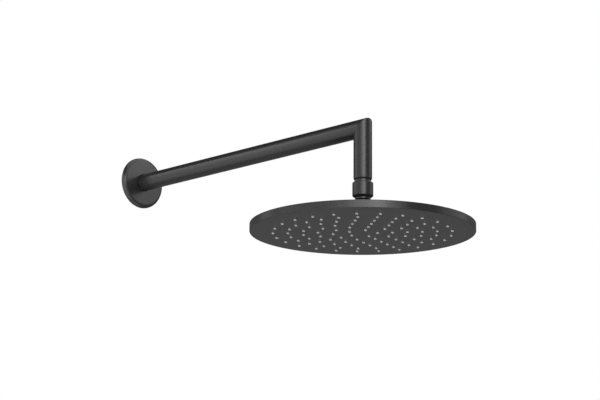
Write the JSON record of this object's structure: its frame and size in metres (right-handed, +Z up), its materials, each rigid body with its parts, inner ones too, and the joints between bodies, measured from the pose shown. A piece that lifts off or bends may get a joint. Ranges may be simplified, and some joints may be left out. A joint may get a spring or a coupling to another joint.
{
  "type": "wall-mounted rain shower",
  "caption": "Satin black wall-mounted rain shower: straight arm with sliding wall flange, mitred drop, ball-joint nut and thin round head with grey soft nozzles.",
  "frame": {"origin": "on the arm's axis in the plane of the finished wall, where the inlet thread leaves the arm", "axes": "+Y into the wall along the inlet thread, +Z up, +X to the right seen from the room facing the wall"},
  "size_m": [0.3, 0.623, 0.1831],
  "materials": {
    "satin_black_metal": "satin black coating",
    "bare_brass": "machined",
    "bare_steel": "plain stainless",
    "black_rubber": "matt",
    "grey_silicone": "soft matt",
    "white_plastic": "moulded"
  },
  "bodies": {
    "arm": {"arm_tube": "satin_black_metal", "drop_tube": "satin_black_metal", "wall_nipple": "bare_brass", "outlet_nipple": "satin_black_metal"},
    "flange": {"wall_flange": "satin_black_metal", "flange_grip_ring": "black_rubber", "flange_wall_seal": "black_rubber"},
    "swivel": {"swivel_nut": "satin_black_metal", "ball_seat": "white_plastic", "inlet_washer": "black_rubber", "filter_screen": "bare_steel", "flow_regulator": "white_plastic"},
    "ball": {"ball_stem": "satin_black_metal", "stem_seals": "black_rubber", "stem_circlip": "bare_steel"},
    "head": {"inlet_hub": "satin_black_metal", "hub_gasket": "black_rubber", "hub_lock_ring": "bare_brass", "head_shell": "satin_black_metal", "rim_seal": "black_rubber", "face_plate": "satin_black_metal", "nozzle_mat": "grey_silicone", "clamp_plate": "white_plastic", "clamp_screws": "bare_steel"}
  },
  "joints": [
    {"name": "flange_slide", "type": "slide", "parent": "arm", "child": "flange", "axis": [0, -1, 0], "range_m": [0, 0.43]},
    {"name": "swivel_turn", "type": "hinge", "parent": "arm", "child": "swivel", "pos_m": [0, -0.458, -0.092], "axis": [0, 0, 1], "continuous": true},
    {"name": "head_tilt", "type": "hinge", "parent": "swivel", "child": "ball", "pos_m": [0, -0.458, -0.092], "axis": [1, 0, 0], "range_deg": [-15, 15]},
    {"name": "head_spin", "type": "hinge", "parent": "ball", "child": "head", "pos_m": [0, -0.458, -0.092], "axis": [0, 0, 1], "continuous": true}
  ]
}
